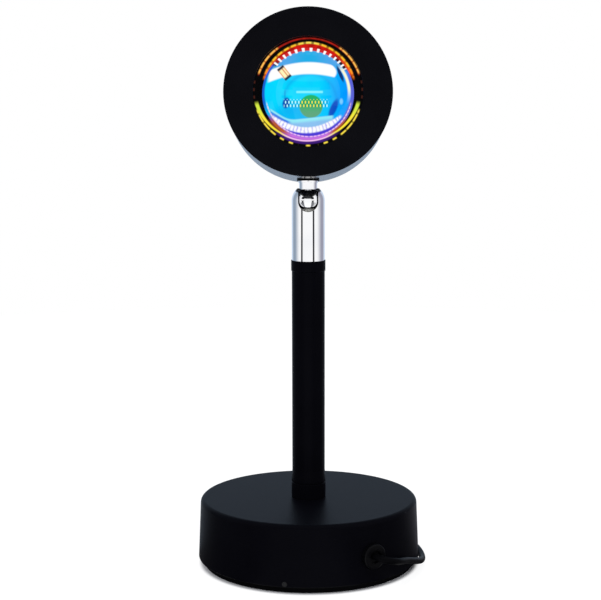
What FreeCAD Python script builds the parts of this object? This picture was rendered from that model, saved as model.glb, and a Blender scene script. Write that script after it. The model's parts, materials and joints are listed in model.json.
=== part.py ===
"""A sunset projection lamp: a round weighted base, a pole, a ball swivel and a round lamp head.

Millimetres, +Z up.  The origin is the centre of the foot's underside, on the table.  The lens looks
towards -Y.  The neck and the head are modelled upright over the ball and then leaned back together.
"""

import FreeCAD
import Part
import math
import os

Vector = FreeCAD.Vector
Rotation = FreeCAD.Rotation
UP = Vector(0, 0, 1)
BACKWARDS = Vector(0, 1, 0)
OUTWARDS = Vector(1, 0, 0)

# Base
base_radius = 50.0
base_top_radius = 48.85
base_height = 30.0
base_edge_radius = 2.0
cover_wall = 1.2
rim_height = 3.0
rim_edge_radius = 0.4
foot_radius = 47.5
foot_thickness = 2.4
foot_edge_radius = 0.6
plate_thickness = 3.0
plate_edge_gap = 0.15
weight_radius = 39.0
weight_bore_radius = 14.0
weight_height = 8.0
weight_screw_circle = 28.0
weight_screw_radius = 2.0
weight_screw_head_radius = 3.8
weight_screw_length = 9.0
side_screw_radius = 0.8
side_screw_head_radius = 1.1
side_screw_head_height = 0.5
side_screw_length = 6.0
side_screw_height = 4.3
side_screw_azimuth = -12.0
screws_per_circle = 3

# Cord outlet in the base's wall; azimuths are counted from the front, to the viewer's right
gland_azimuth = 34.0
gland_height = 14.5
gland_flange_radius = 5.5
gland_flange_thickness = 2.0
gland_edge_radius = 0.7
gland_neck_radius = 3.9
gland_mouth_radius = 2.9
gland_mouth_depth = 1.0
gland_inner_length = 5.0
clip_radius = 6.0
clip_thickness = 2.0

# Threaded hollow rods that clamp the pole
rod_radius = 5.0
rod_bore_radius = 3.4
thread_gap = 0.05
nut_across_flats = 17.0
nut_height = 5.0
washer_radius = 9.5
washer_thickness = 1.0
rod_below_nut = 1.5
rod_grip = 11.0

# Pole
collar_radius = 7.7
collar_height = 7.0
collar_chamfer = 0.25
tube_radius = 7.35
tube_wall = 1.2
tube_length = 96.0
tube_flare_height = 5.8
tube_flare_land = 1.0
insert_length = 12.0
cap_radius = 7.65
cap_height = 4.9
cap_chamfer = 0.3
cap_spigot_length = 8.0

# Ball swivel
barrel_radius = 7.3
barrel_length = 26.4
barrel_floor = 8.0
ball_radius = 6.3
ball_gap = 0.1
mouth_radius = 5.0
slot_radius = 4.45
seat_height = 4.0
seat_slot_gap = 0.15
seat_bore_radius = 3.4
disc_spring_count = 4
disc_spring_thickness = 0.8
disc_spring_cone = 0.7
head_lean = 7.0

# Neck
neck_radius = 4.0
neck_bore_radius = 2.6
neck_socket_depth = 3.0
neck_turn_gap = 0.08
neck_ring_radius = 4.3
neck_ring_thickness = 0.8
neck_ring_gap = 0.6
neck_washer_radius = 5.0
neck_washer_thickness = 0.6
neck_nut_across_flats = 12.0
neck_nut_height = 3.2
neck_above_nut = 0.4
saddle_radius = 7.0
saddle_thickness = 1.2
head_above_ball = 9.3

# Lamp head; depths are counted back from the front face
head_radius = 36.4
head_length = 46.0
head_wall = 1.8
head_edge_radius = 0.7
face_thickness = 2.2
aperture_radius = 23.8
boss_radius = 2.8
boss_circle = 32.2
boss_bore_radius = 1.0
rear_cover_thickness = 2.0
rear_cover_recess = 0.6
rear_cover_gap = 0.2
rear_screw_radius = 1.5
rear_screw_head_radius = 2.7
rear_screw_head_height = 1.2
rear_screw_length = 8.0
vent_count = 20
vent_width = 2.2
vent_inner_radius = 11.0
vent_outer_radius = 24.0

# Lens, film and light engine inside the head
lens_tube_radius = 26.5
lens_tube_length = 30.0
lens_tube_flange_radius = 29.0
lens_tube_flange_thickness = 1.6
step_count = 4
step_depth = 1.6
step_width = 0.95
lens_radius = 21.2
lens_clear_radius = 19.8
lens_edge_thickness = 2.2
lens_lip_thickness = 0.8
lens_dome_height = 10.5
lens_gap = 0.1
lead_entry_gap = 0.6
film_thickness = 0.4
retainer_thickness = 2.0
retainer_width = 2.2
reflector_wall = 1.0
reflector_rear_radius = 6.6
reflector_length = 13.5
board_radius = 12.5
board_thickness = 1.2
led_radius = 5.0
led_thickness = 0.9
board_screw_circle = 10.2
board_screw_radius = 1.0
board_screw_head_radius = 1.8
board_screw_head_height = 1.0
board_screw_length = 3.6
sink_plate_thickness = 3.0
sink_fin_count = 9
sink_fin_thickness = 1.4
sink_fin_length = 7.0
sink_screw_circle = 23.9
sink_screw_radius = 1.2
sink_screw_head_radius = 2.2
sink_screw_head_height = 1.4
sink_screw_length = 8.0

# Cord, its coil, its switch and its plug
cord_radius = 1.5
wire_radius = 0.9
coil_centre = (-7.5, 91.5)
coil_mid_radius = 17.0
coil_turns_across = 3
coil_layers = 4
coil_edge_radius = 1.4
tie_thickness = 0.6
tie_width = 4.0
tie_angles = (20.0, 235.0)
switch_length = 44.0
switch_width = 16.0
switch_height = 11.0
switch_wall = 1.4
switch_corner_radius = 3.0
switch_edge_radius = 1.2
switch_centre = (11.0, 60.0)
switch_cord_height = 4.0
switch_cord_gap = 0.1
button_radius = 4.4
button_gap = 0.15
button_proud = 1.6
button_flange_radius = 5.6
button_flange_thickness = 0.9
button_travel = 1.2
button_spring_wire = 0.25
button_spring_radius = 3.4
button_spring_turns = 4
button_edge_radius = 0.6
module_length = 13.0
module_width = 9.0
module_height = 2.6
switch_screw_radius = 0.9
switch_screw_head_radius = 1.7
switch_screw_head_low = 0.3
switch_screw_head_height = 1.2
switch_screw_length = 6.6
switch_screw_spacing = 30.0
switch_post_radius = 2.4
plug_x = 28.9
plug_cord_end_y = 108.9
plug_height = 8.0
plug_width = 15.6
plug_body_length = 20.0
plug_edge_radius = 2.2
plug_relief_length = 8.0
plug_relief_radius = 2.6
plug_cord_height = 4.0
usb_width = 12.0
usb_thickness = 4.5
usb_length = 12.0
usb_wall = 0.3
usb_inside_body = 5.0
tongue_thickness = 1.9

# Heights along the pole, from the table upwards
plate_top = foot_thickness + plate_thickness
cover_underside = base_height - cover_wall
tube_bottom = base_height + collar_height
tube_top = tube_bottom + tube_length
barrel_bottom = tube_top + cap_height
ball_height = barrel_bottom + barrel_length
seat_radius = ball_radius + ball_gap
seat_below_centre = slot_radius + seat_slot_gap
tube_inner_radius = tube_radius - tube_wall
ball_centre = Vector(0, 0, ball_height)
head_height = ball_height + head_above_ball + head_radius
head_inner_radius = head_radius - head_wall
face_y = -head_length / 2
neck_base = ball_radius - neck_socket_depth
neck_ring_low = head_above_ball - neck_washer_thickness - neck_ring_thickness
neck_nut_low = head_above_ball + head_wall + saddle_thickness
neck_top = neck_nut_low + neck_nut_height + neck_above_nut
lens_front_depth = face_thickness + step_count * step_depth
lens_back_depth = lens_front_depth + lens_lip_thickness + lens_edge_thickness
film_back_depth = lens_back_depth + film_thickness
retainer_back_depth = film_back_depth + retainer_thickness
lens_tube_back_depth = face_thickness + lens_tube_length
board_front_depth = lens_tube_back_depth - board_thickness
led_front_depth = board_front_depth - led_thickness
sink_back_depth = lens_tube_back_depth + sink_plate_thickness
rear_cover_back_depth = head_length - rear_cover_recess
rear_cover_front_depth = rear_cover_back_depth - rear_cover_thickness
plug_body_y = plug_cord_end_y - plug_relief_length

# The cord's route from the base to the switch, the coil and the plug, chosen by hand
LEAD_ROUTE = [
    (28.25, -41.88, 14.5),
    (30.56, -45.30, 14.5),
    (33.90, -47.52, 14.2),
    (37.84, -48.30, 13.5),
    (41.77, -47.50, 12.6),
    (45.30, -45.10, 11.5),
    (48.16, -40.37, 10.4),
    (50.90, -32.80, 8.3),
    (53.30, -21.90, 5.4),
    (54.90, -8.00, 2.6),
    (54.90, 6.50, 1.5),
    (53.20, 20.50, 1.5),
    (50.60, 36.00, 1.5),
    (48.00, 47.60, 1.6),
    (45.20, 54.30, 2.2),
    (41.90, 58.10, 2.9),
    (37.50, 60.00, 3.7),
    (33.00, 60.00, 4.0),
]
MIDDLE_ROUTE = [
    (-11.00, 60.00, 4.0),
    (-15.50, 60.00, 3.9),
    (-19.90, 61.60, 3.5),
    (-23.60, 65.20, 3.0),
    (-26.10, 71.00, 2.5),
    (-27.30, 79.60, 2.1),
    (-27.50, 90.50, 2.1),
]
TAIL_ROUTE = [
    (-21.60, 105.60, 11.1),
    (-16.70, 110.50, 10.9),
    (-8.80, 116.70, 9.9),
    (0.90, 121.90, 7.7),
    (11.60, 124.50, 5.0),
    (19.50, 123.70, 3.0),
    (24.40, 121.10, 2.6),
    (27.50, 117.40, 3.3),
    (28.90, 113.10, 4.0),
    (28.90, 108.90, 4.0),
]


def cylinder(radius, low, high, axis=UP):
    """A cylinder on an axis through the origin, between two places along it."""
    return Part.makeCylinder(radius, high - low, axis * low, axis)


def ring(outer, inner, low, high, axis=UP):
    """A plain ring on an axis through the origin."""
    return cylinder(outer, low, high, axis).cut(cylinder(inner, low, high, axis))


def revolved(outline):
    """A solid turned about Z from (radius, height) corners."""
    corners = [Vector(radius, 0, height) for radius, height in outline]
    face = Part.Face(Part.makePolygon(corners + corners[:1]))
    return face.revolve(Vector(0, 0, 0), UP, 360)


def box_between(low, high):
    """A box from its lowest to its highest corner."""
    size = Vector(*high) - Vector(*low)
    return Part.makeBox(size.x, size.y, size.z, Vector(*low))


def hexagon(across_flats, low, high):
    """A hexagonal prism about Z."""
    corner = across_flats / math.sqrt(3)
    turns = [math.radians(60 * side) for side in range(7)]
    outline = [Vector(corner * math.cos(t), corner * math.sin(t), low) for t in turns]
    return Part.Face(Part.makePolygon(outline)).extrude(UP * (high - low))


def around(shape, count, first_angle=0.0):
    """Equal copies of a shape around Z, as one compound of separate solids."""
    copies = []
    for number in range(count):
        copy = shape.copy()
        copy.rotate(Vector(0, 0, 0), UP, first_angle + 360.0 * number / count)
        copies.append(copy)
    return Part.makeCompound(copies)


def facing(shape, azimuth, height):
    """Turns a shape made along +X to an azimuth of the base's wall, at a height."""
    placed = shape.copy()
    placed.translate(UP * height)
    placed.rotate(Vector(0, 0, 0), UP, azimuth - 90.0)
    return placed


def above_ball(shape):
    """Moves a shape made over the origin to the ball's centre and leans it back."""
    placed = shape.copy()
    placed.translate(ball_centre)
    placed.rotate(ball_centre, OUTWARDS, -head_lean)
    return placed


def in_head(shape):
    """Moves a shape made about Y, with the front face at y = 0, into the leaned head."""
    placed = shape.copy()
    placed.translate(Vector(0, face_y, head_height))
    placed.rotate(ball_centre, OUTWARDS, -head_lean)
    return placed


def around_head(shape, count, first_angle):
    """Equal copies of a shape around the head's own axis."""
    copies = []
    for number in range(count):
        copy = shape.copy()
        copy.rotate(Vector(0, 0, 0), BACKWARDS, first_angle + 360.0 * number / count)
        copies.append(copy)
    return Part.makeCompound(copies)


def edges_at(shape, axis, place, radius):
    """The round edges of one radius that lie on one plane across an axis."""
    found = []
    for edge in shape.Edges:
        curve = edge.Curve
        if isinstance(curve, Part.Circle) and abs(curve.Radius - radius) < 0.01:
            if abs(curve.Center.dot(axis) - place) < 0.01:
                found.append(edge)
    return found


def cover_radius(height):
    """The outer radius of the base's tapered wall at a height."""
    share = (height - rim_height) / (base_height - rim_height)
    return base_radius + (base_top_radius - base_radius) * share


def cover_outside():
    """The whole outer form of the base's cover, as a solid."""
    height = base_height - rim_height
    cone = Part.makeCone(base_radius, base_top_radius, height, UP * rim_height)
    cone = cone.makeFillet(base_edge_radius, edges_at(cone, UP, base_height, base_top_radius))
    return cone.makeFillet(rim_edge_radius, edges_at(cone, UP, rim_height, base_radius))


def cover_inside():
    """The hollow of the base's cover, as a solid that starts below the rim."""
    low = rim_height - cover_wall
    height = cover_underside - low
    top_radius = cover_radius(cover_underside) - cover_wall
    cone = Part.makeCone(cover_radius(low) - cover_wall, top_radius, height, UP * low)
    inner_edge = max(base_edge_radius - cover_wall, 0.3)
    return cone.makeFillet(inner_edge, edges_at(cone, UP, cover_underside, top_radius))


def side_screw(gap):
    """One side screw along +X, with a gap all round when it is used to cut its hole."""
    head_top = cover_radius(side_screw_height) - 0.05
    head_low = head_top - side_screw_head_height
    head = cylinder(side_screw_head_radius + gap, head_low, head_top + gap * 20, OUTWARDS)
    shank_low = head_low - side_screw_length
    return head.fuse(cylinder(side_screw_radius + gap, shank_low, head_low, OUTWARDS))


def side_screws(gap):
    """The side screws in their places around the rim."""
    placed = facing(side_screw(gap), side_screw_azimuth, side_screw_height)
    return around(placed, screws_per_circle)


def base_cover():
    cover = cover_outside().cut(cover_inside())
    cover = cover.cut(cylinder(rod_radius + thread_gap, cover_underside - 1, base_height + 1))
    hole = cylinder(gland_neck_radius + thread_gap, base_radius * 0.8, base_radius * 1.2, OUTWARDS)
    cover = cover.cut(facing(hole, gland_azimuth, gland_height))
    return cover.cut(side_screws(thread_gap))


def weight_screw():
    """One countersunk screw that holds the counterweight, made at the origin's axis."""
    slope = weight_screw_head_radius - weight_screw_radius
    top = foot_thickness + weight_screw_length
    outline = [
        (0, foot_thickness),
        (weight_screw_head_radius, foot_thickness),
        (weight_screw_radius, foot_thickness + slope),
        (weight_screw_radius, top),
        (0, top),
    ]
    return revolved(outline)


def weight_screws():
    screw = weight_screw()
    screw.translate(OUTWARDS * weight_screw_circle)
    return around(screw, screws_per_circle, 30.0)


def bottom_plate():
    radius = cover_radius(rim_height) - cover_wall - plate_edge_gap
    plate = cylinder(radius, foot_thickness, plate_top)
    plate = plate.cut(side_screws(0.0))
    return plate.cut(weight_screws())


def foot_pad():
    pad = cylinder(foot_radius, 0, foot_thickness)
    return pad.makeFillet(foot_edge_radius, edges_at(pad, UP, 0, foot_radius))


def counterweight():
    weight = ring(weight_radius, weight_bore_radius, plate_top, plate_top + weight_height)
    return weight.cut(weight_screws())


def cable_gland():
    """A moulded grommet: a ring outside, a neck through the wall and a barb inside."""
    wall_outside = cover_radius(gland_height)
    wall_inside = wall_outside - cover_wall
    face = wall_outside + gland_flange_thickness
    flange = cylinder(gland_flange_radius, wall_inside, face, OUTWARDS)
    outer_edges = edges_at(flange, OUTWARDS, face, gland_flange_radius)
    flange = flange.makeFillet(gland_edge_radius, outer_edges)
    mouth = cylinder(gland_mouth_radius, face - gland_mouth_depth, face + 1, OUTWARDS)
    flange = facing(flange.cut(mouth), gland_azimuth, gland_height).cut(cover_outside())
    neck = cylinder(gland_neck_radius, wall_inside - gland_inner_length, wall_outside + 1, OUTWARDS)
    return flange.fuse(facing(neck, gland_azimuth, gland_height)).removeSplitter()


def gland_clip():
    """The spring ring that keeps the grommet in the wall, cut to the wall's curve."""
    wall_inside = cover_radius(gland_height) - cover_wall
    low = wall_inside - clip_thickness
    clip = ring(clip_radius, gland_neck_radius, low - 0.5, wall_inside + 1, OUTWARDS)
    return facing(clip, gland_azimuth, gland_height).common(cover_inside())


def lock_washer():
    low = cover_underside - washer_thickness
    return ring(washer_radius, rod_radius + thread_gap, low, cover_underside)


def base_nut():
    high = cover_underside - washer_thickness
    nut = hexagon(nut_across_flats, high - nut_height, high)
    return nut.cut(cylinder(rod_radius + thread_gap, high - nut_height, high))


def lower_rod():
    low = cover_underside - washer_thickness - nut_height - rod_below_nut
    return ring(rod_radius, rod_bore_radius, low, tube_bottom + rod_grip)


def foot_collar():
    high = tube_bottom
    collar = ring(collar_radius, rod_radius + thread_gap, base_height, high)
    return collar.makeChamfer(collar_chamfer, edges_at(collar, UP, high, collar_radius))


def pole_tube():
    outline = [
        (tube_inner_radius, tube_bottom),
        (collar_radius - collar_chamfer, tube_bottom),
        (collar_radius, tube_bottom + collar_chamfer),
        (collar_radius, tube_bottom + tube_flare_land),
        (tube_radius, tube_bottom + tube_flare_height),
        (tube_radius, tube_top),
        (tube_inner_radius, tube_top),
    ]
    return revolved(outline)


def pole_foot_insert():
    high = tube_bottom + insert_length
    return ring(tube_inner_radius, rod_radius + thread_gap, tube_bottom, high)


def pole_top_cap():
    cap = cylinder(cap_radius, tube_top, barrel_bottom)
    cap = cap.makeChamfer(cap_chamfer, edges_at(cap, UP, tube_top, cap_radius))
    cap = cap.fuse(cylinder(tube_inner_radius, tube_top - cap_spigot_length, tube_top))
    bore = cylinder(rod_radius + thread_gap, tube_top - cap_spigot_length, barrel_bottom)
    return cap.cut(bore)


def upper_rod():
    low = tube_top - cap_spigot_length
    return ring(rod_radius, rod_bore_radius, low, barrel_bottom + barrel_floor)


def swivel_barrel():
    """The plated barrel: a round dome over the ball, a round mouth and a slot at the front."""
    floor = barrel_bottom + barrel_floor
    outside = cylinder(barrel_radius, barrel_bottom, ball_height)
    outside = outside.fuse(Part.makeSphere(barrel_radius, ball_centre))
    inside = cylinder(seat_radius, floor, ball_height)
    inside = inside.fuse(Part.makeSphere(seat_radius, ball_centre))
    inside = inside.fuse(cylinder(rod_radius + thread_gap, barrel_bottom - 1, floor + 1))
    inside = inside.fuse(cylinder(mouth_radius, ball_height, ball_height + barrel_radius + 1))
    slot = cylinder(slot_radius, 0, barrel_radius + 1, -BACKWARDS)
    slot_top = box_between((-slot_radius, -barrel_radius - 1, 0), (slot_radius, 0, barrel_radius + 1))
    slot = slot.fuse(slot_top)
    slot.translate(ball_centre)
    return outside.cut(inside).cut(slot).removeSplitter()


def friction_seat():
    """The plastic cup under the ball, pushed up by the disc springs."""
    high = ball_height - seat_below_centre
    seat = cylinder(seat_radius - ball_gap, high - seat_height, high)
    seat = seat.cut(Part.makeSphere(seat_radius, ball_centre))
    return seat.cut(cylinder(seat_bore_radius, high - seat_height, high))


def disc_springs():
    """Coned washers stacked in pairs between the barrel's floor and the seat."""
    low = barrel_bottom + barrel_floor
    high = ball_height - seat_below_centre - seat_height
    outer = seat_radius - ball_gap * 2
    inner = seat_bore_radius
    spacing = (high - low) / disc_spring_count
    discs = []
    for number in range(disc_spring_count):
        middle = low + spacing * (number + 0.5)
        lift = disc_spring_cone / 2 if number % 2 else -disc_spring_cone / 2
        half = disc_spring_thickness / 2
        outline = [
            (inner, middle - half + lift),
            (outer, middle - half - lift),
            (outer, middle + half - lift),
            (inner, middle + half + lift),
        ]
        discs.append(revolved(outline))
    return Part.makeCompound(discs)


def pivot_ball():
    ball = Part.makeSphere(ball_radius)
    ball = ball.cut(cylinder(neck_bore_radius, -ball_radius, ball_radius))
    return above_ball(ball.cut(cylinder(neck_radius, neck_base, ball_radius)))


def neck_tube():
    return above_ball(ring(neck_radius, neck_bore_radius, neck_base, neck_top))


def neck_ring():
    high = neck_ring_low + neck_ring_thickness
    return above_ball(ring(neck_ring_radius, neck_radius, neck_ring_low, high))


def neck_nut():
    high = neck_nut_low + neck_nut_height
    nut = hexagon(neck_nut_across_flats, neck_nut_low, high)
    return above_ball(nut.cut(cylinder(neck_radius, neck_nut_low, high)))


def neck_washer():
    """The black washer between the neck's ring and the round underside of the head."""
    low = head_above_ball - neck_washer_thickness
    washer = ring(neck_washer_radius, neck_radius + neck_turn_gap, low, head_above_ball + 2)
    return above_ball(washer).cut(head_outside())


def head_saddle():
    """The washer under the neck's nut, shaped to the inside of the shell."""
    low = head_above_ball + head_wall
    saddle = ring(saddle_radius, neck_radius + neck_turn_gap, low - 1, neck_nut_low)
    inside = in_head(cylinder(head_inner_radius, 0, head_length, BACKWARDS))
    return above_ball(saddle).common(inside)


def head_outside():
    """The whole outer form of the head's shell, as a solid."""
    outside = cylinder(head_radius, 0, head_length, BACKWARDS)
    front = edges_at(outside, BACKWARDS, 0, head_radius)
    back = edges_at(outside, BACKWARDS, head_length, head_radius)
    return in_head(outside.makeFillet(head_edge_radius, front + back))


def rear_screw(gap):
    """One rear cover screw, along the head's axis, at the origin's axis."""
    seat = rear_cover_back_depth - rear_screw_head_height
    shank = cylinder(rear_screw_radius - gap, seat - rear_screw_length, seat, BACKWARDS)
    head = cylinder(rear_screw_head_radius, seat, rear_cover_back_depth, BACKWARDS)
    slot = box_between((-rear_screw_head_radius, rear_cover_back_depth - 0.6, -0.35),
                       (rear_screw_head_radius, rear_cover_back_depth, 0.35))
    return head.cut(slot).fuse(shank)


def rear_screws():
    screw = rear_screw(0.0)
    screw.translate(UP * boss_circle)
    return in_head(around_head(screw, screws_per_circle, 0.0))


def head_shell():
    """The cup with its front face, aperture, neck hole and three screw bosses."""
    inside = cylinder(head_inner_radius, face_thickness, head_length, BACKWARDS)
    aperture = cylinder(aperture_radius, 0, face_thickness, BACKWARDS)
    boss = cylinder(boss_radius, face_thickness, rear_cover_front_depth, BACKWARDS)
    boss.translate(UP * boss_circle)
    bosses = around_head(boss, screws_per_circle, 0.0)
    hollow = inside.cut(bosses).fuse(aperture)
    shell = head_outside().cut(in_head(hollow))
    neck_hole = cylinder(neck_radius + neck_turn_gap, head_above_ball - 1, neck_nut_low)
    return shell.cut(above_ball(neck_hole)).cut(rear_screws())


def vent():
    """One round-ended vent slot along +Z, through the rear cover."""
    low = rear_cover_front_depth
    high = rear_cover_back_depth
    half = vent_width / 2
    slot = box_between((-half, low, vent_inner_radius), (half, high, vent_outer_radius))
    for radius in (vent_inner_radius, vent_outer_radius):
        end = cylinder(half, low, high, BACKWARDS)
        end.translate(UP * radius)
        slot = slot.fuse(end)
    return slot


def rear_cover():
    radius = head_inner_radius - rear_cover_gap
    cover = cylinder(radius, rear_cover_front_depth, rear_cover_back_depth, BACKWARDS)
    cover = cover.cut(around_head(vent(), vent_count, 0.0))
    return in_head(cover).cut(rear_screws())


def lens_tube():
    """The black inner tube: stepped rings in front of the lens, a lip that holds the lens."""
    tube = cylinder(lens_tube_radius, face_thickness, lens_tube_back_depth, BACKWARDS)
    flange_back = face_thickness + lens_tube_flange_thickness
    tube = tube.fuse(cylinder(lens_tube_flange_radius, face_thickness, flange_back, BACKWARDS))
    for step in range(step_count):
        low = face_thickness + step * step_depth
        radius = aperture_radius - step_width * step
        tube = tube.cut(cylinder(radius, low, low + step_depth, BACKWARDS))
    lip_back = lens_front_depth + lens_lip_thickness
    tube = tube.cut(cylinder(lens_clear_radius + lens_gap, lens_front_depth, lip_back, BACKWARDS))
    bore = cylinder(lens_radius + lens_gap, lip_back, lens_tube_back_depth, BACKWARDS)
    tube = tube.cut(bore)
    entry = cylinder(wire_radius + lead_entry_gap, -lens_tube_radius - 1, -board_radius)
    entry.translate(BACKWARDS * (led_front_depth - wire_radius))
    tube = tube.cut(entry)
    return in_head(tube).cut(sink_screws(0.0))


def lens():
    """A plano-convex glass with a flat edge that sits behind the lip."""
    rim_depth = lens_back_depth - lens_edge_thickness
    globe = (lens_clear_radius ** 2 + lens_dome_height ** 2) / (2 * lens_dome_height)
    apex = rim_depth - lens_dome_height
    dome = Part.makeSphere(globe, Vector(0, apex + globe, 0))
    dome = dome.common(cylinder(lens_clear_radius, apex, rim_depth, BACKWARDS))
    edge = cylinder(lens_radius, rim_depth, lens_back_depth, BACKWARDS)
    return in_head(edge.fuse(dome))


def colour_film():
    return in_head(cylinder(lens_radius, lens_back_depth, film_back_depth, BACKWARDS))


def lens_retainer():
    inner = lens_radius - retainer_width
    return in_head(ring(lens_radius, inner, film_back_depth, retainer_back_depth, BACKWARDS))


def reflector():
    """A bright cone between the LED and the film."""
    outline = [
        (reflector_rear_radius, led_front_depth),
        (lens_radius - retainer_width, led_front_depth - reflector_length),
        (lens_radius - reflector_wall, led_front_depth - reflector_length),
        (lens_radius - reflector_wall, led_front_depth - reflector_length + reflector_wall),
        (reflector_rear_radius + reflector_wall, led_front_depth),
    ]
    cone = revolved(outline)
    cone.rotate(Vector(0, 0, 0), OUTWARDS, -90)
    return in_head(cone)


def board_screw():
    """One LED board screw at the origin's axis."""
    seat = board_front_depth
    head = cylinder(board_screw_head_radius, seat - board_screw_head_height, seat, BACKWARDS)
    shank = cylinder(board_screw_radius, seat, seat + board_screw_length, BACKWARDS)
    return head.fuse(shank)


def board_screws():
    screw = board_screw()
    screw.translate(OUTWARDS * board_screw_circle)
    return in_head(around_head(screw, 2, 0.0))


def led_board():
    board = cylinder(board_radius, board_front_depth, lens_tube_back_depth, BACKWARDS)
    return in_head(board).cut(board_screws())


def led_chip():
    return in_head(cylinder(led_radius, led_front_depth, board_front_depth, BACKWARDS))


def sink_screws(gap):
    seat = sink_back_depth
    head = cylinder(sink_screw_head_radius, seat, seat + sink_screw_head_height, BACKWARDS)
    shank = cylinder(sink_screw_radius + gap, seat - sink_screw_length, seat, BACKWARDS)
    screw = head.fuse(shank)
    screw.translate(OUTWARDS * sink_screw_circle)
    return in_head(around_head(screw, screws_per_circle, 30.0))


def heat_sink():
    """A round plate with upright fins behind it."""
    plate = cylinder(lens_tube_radius, lens_tube_back_depth, sink_back_depth, BACKWARDS)
    fin_room = lens_tube_radius - 2 * sink_screw_head_radius - 1.5
    pitch = 2 * fin_room / sink_fin_count
    top = sink_back_depth + sink_fin_length
    half = sink_fin_thickness / 2
    for number in range(sink_fin_count):
        middle = pitch * (number - (sink_fin_count - 1) / 2)
        reach = math.sqrt(fin_room ** 2 - (abs(middle) - half) ** 2)
        fin = box_between((middle - half, sink_back_depth, -reach), (middle + half, top, reach))
        plate = plate.fuse(fin)
    return in_head(plate).cut(board_screws()).cut(sink_screws(0.0))


def tube_along(route, radius):
    """A round tube along straight runs joined by tangent arcs, and the arcs' radii."""
    points = [Vector(*point) for point in route]
    edges = []
    radii = []
    start = points[0]
    for before, corner, after in zip(points, points[1:], points[2:]):
        inwards = corner - before
        outwards = after - corner
        turn = inwards.getAngle(outwards)
        shorter = min(inwards.Length, outwards.Length)
        back = 0.45 * shorter
        radii.append(back / math.tan(turn / 2))
        entry = corner - inwards.normalize() * back
        leave = corner + outwards.normalize() * back
        to_middle = (entry + leave) * 0.5 - corner
        sagitta = radii[-1] / math.cos(turn / 2) - radii[-1]
        middle = corner + to_middle.normalize() * sagitta
        edges.append(Part.LineSegment(start, entry).toShape())
        edges.append(Part.Arc(entry, middle, leave).toShape())
        start = leave
    edges.append(Part.LineSegment(start, points[-1]).toShape())
    path = Part.Wire(edges)
    direction = points[1] - points[0]
    section = Part.Wire(Part.makeCircle(radius, points[0], direction))
    return path.makePipeShell([section], True, True), radii, path.Length


def cord_tube(name, route, radius):
    """Makes a cord's tube and prints its length, volume and tightest arcs."""
    solid, radii, length = tube_along(route, radius)
    share = solid.Volume / (math.pi * radius ** 2 * length)
    radii_text = " ".join("%.1f" % r for r in radii)
    print("%s: length %.1f, volume share %.4f, arc radii %s" % (name, length, share, radii_text))
    return solid


def cord_middle():
    """The cord from the switch to the coil's surface."""
    return cord_tube("cord_middle", MIDDLE_ROUTE, cord_radius).cut(cord_coil())


def cord_tail():
    """The cord from the coil's surface to the plug."""
    return cord_tube("cord_tail", TAIL_ROUTE, cord_radius).cut(cord_coil())


def coil_size():
    """The coil's inner and outer radius and its height."""
    half_width = coil_turns_across * cord_radius
    height = coil_layers * 2 * cord_radius
    return coil_mid_radius - half_width, coil_mid_radius + half_width, height


def cord_coil():
    inner, outer, height = coil_size()
    coil = ring(outer, inner, tie_thickness, tie_thickness + height)
    edges = []
    for radius in (inner, outer):
        for place in (tie_thickness, tie_thickness + height):
            edges += edges_at(coil, UP, place, radius)
    coil = coil.makeFillet(coil_edge_radius, edges)
    coil.translate(Vector(coil_centre[0], coil_centre[1], 0))
    return coil


def cord_ties():
    """Flat bands round the coil's bundle of turns."""
    inner, outer, height = coil_size()
    half = tie_width / 2
    high = tie_thickness * 2 + height
    bands = []
    for angle in tie_angles:
        band = box_between((inner - tie_thickness, -half, 0), (outer + tie_thickness, half, high))
        hole = box_between((inner, -half, tie_thickness), (outer, half, tie_thickness + height))
        band = band.cut(hole)
        band.rotate(Vector(0, 0, 0), UP, angle)
        band.translate(Vector(coil_centre[0], coil_centre[1], 0))
        bands.append(band)
    return Part.makeCompound(bands).cut(cord_coil())


def at_switch(shape):
    """Moves a shape made about the origin to the switch's place on the cord."""
    placed = shape.copy()
    placed.translate(Vector(switch_centre[0], switch_centre[1], 0))
    return placed


def rounded_block(length, width, low, high, corner):
    """A block with rounded upright corners, centred on Z."""
    block = box_between((-length / 2, -width / 2, low), (length / 2, width / 2, high))
    upright = [e for e in block.Edges if abs(e.tangentAt(e.FirstParameter).z) > 0.99]
    return block.makeFillet(corner, upright)


def switch_body():
    """The hollow switch housing before it is split into its two shells."""
    outside = rounded_block(switch_length, switch_width, 0, switch_height, switch_corner_radius)
    rims = [e for e in outside.Edges if abs(e.CenterOfMass.z - switch_height) < 0.01]
    outside = outside.makeFillet(switch_edge_radius, rims)
    inside = rounded_block(switch_length - 2 * switch_wall, switch_width - 2 * switch_wall,
                           switch_wall, switch_height - switch_wall,
                           switch_corner_radius - switch_wall)
    cord_hole = cylinder(cord_radius + switch_cord_gap, -switch_length, switch_length, OUTWARDS)
    cord_hole.translate(UP * switch_cord_height)
    body = outside.cut(inside).cut(cord_hole)
    post = cylinder(switch_post_radius, 0, switch_height - switch_wall)
    return body.fuse(switch_pair(post))


def switch_pair(shape):
    """Two copies of a shape, on the switch's screw posts, clear of the cord."""
    off_middle = switch_width / 2 - switch_wall - 2 * switch_screw_radius
    to_post = OUTWARDS * (switch_screw_spacing / 2) + BACKWARDS * off_middle
    first = shape.copy()
    first.translate(to_post)
    second = shape.copy()
    second.translate(to_post * -1)
    return Part.makeCompound([first, second])


def switch_screws():
    seat = switch_screw_head_low + switch_screw_head_height
    head = cylinder(switch_screw_head_radius, switch_screw_head_low, seat)
    shank = cylinder(switch_screw_radius, seat, seat + switch_screw_length)
    return at_switch(switch_pair(head.fuse(shank)))


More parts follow.
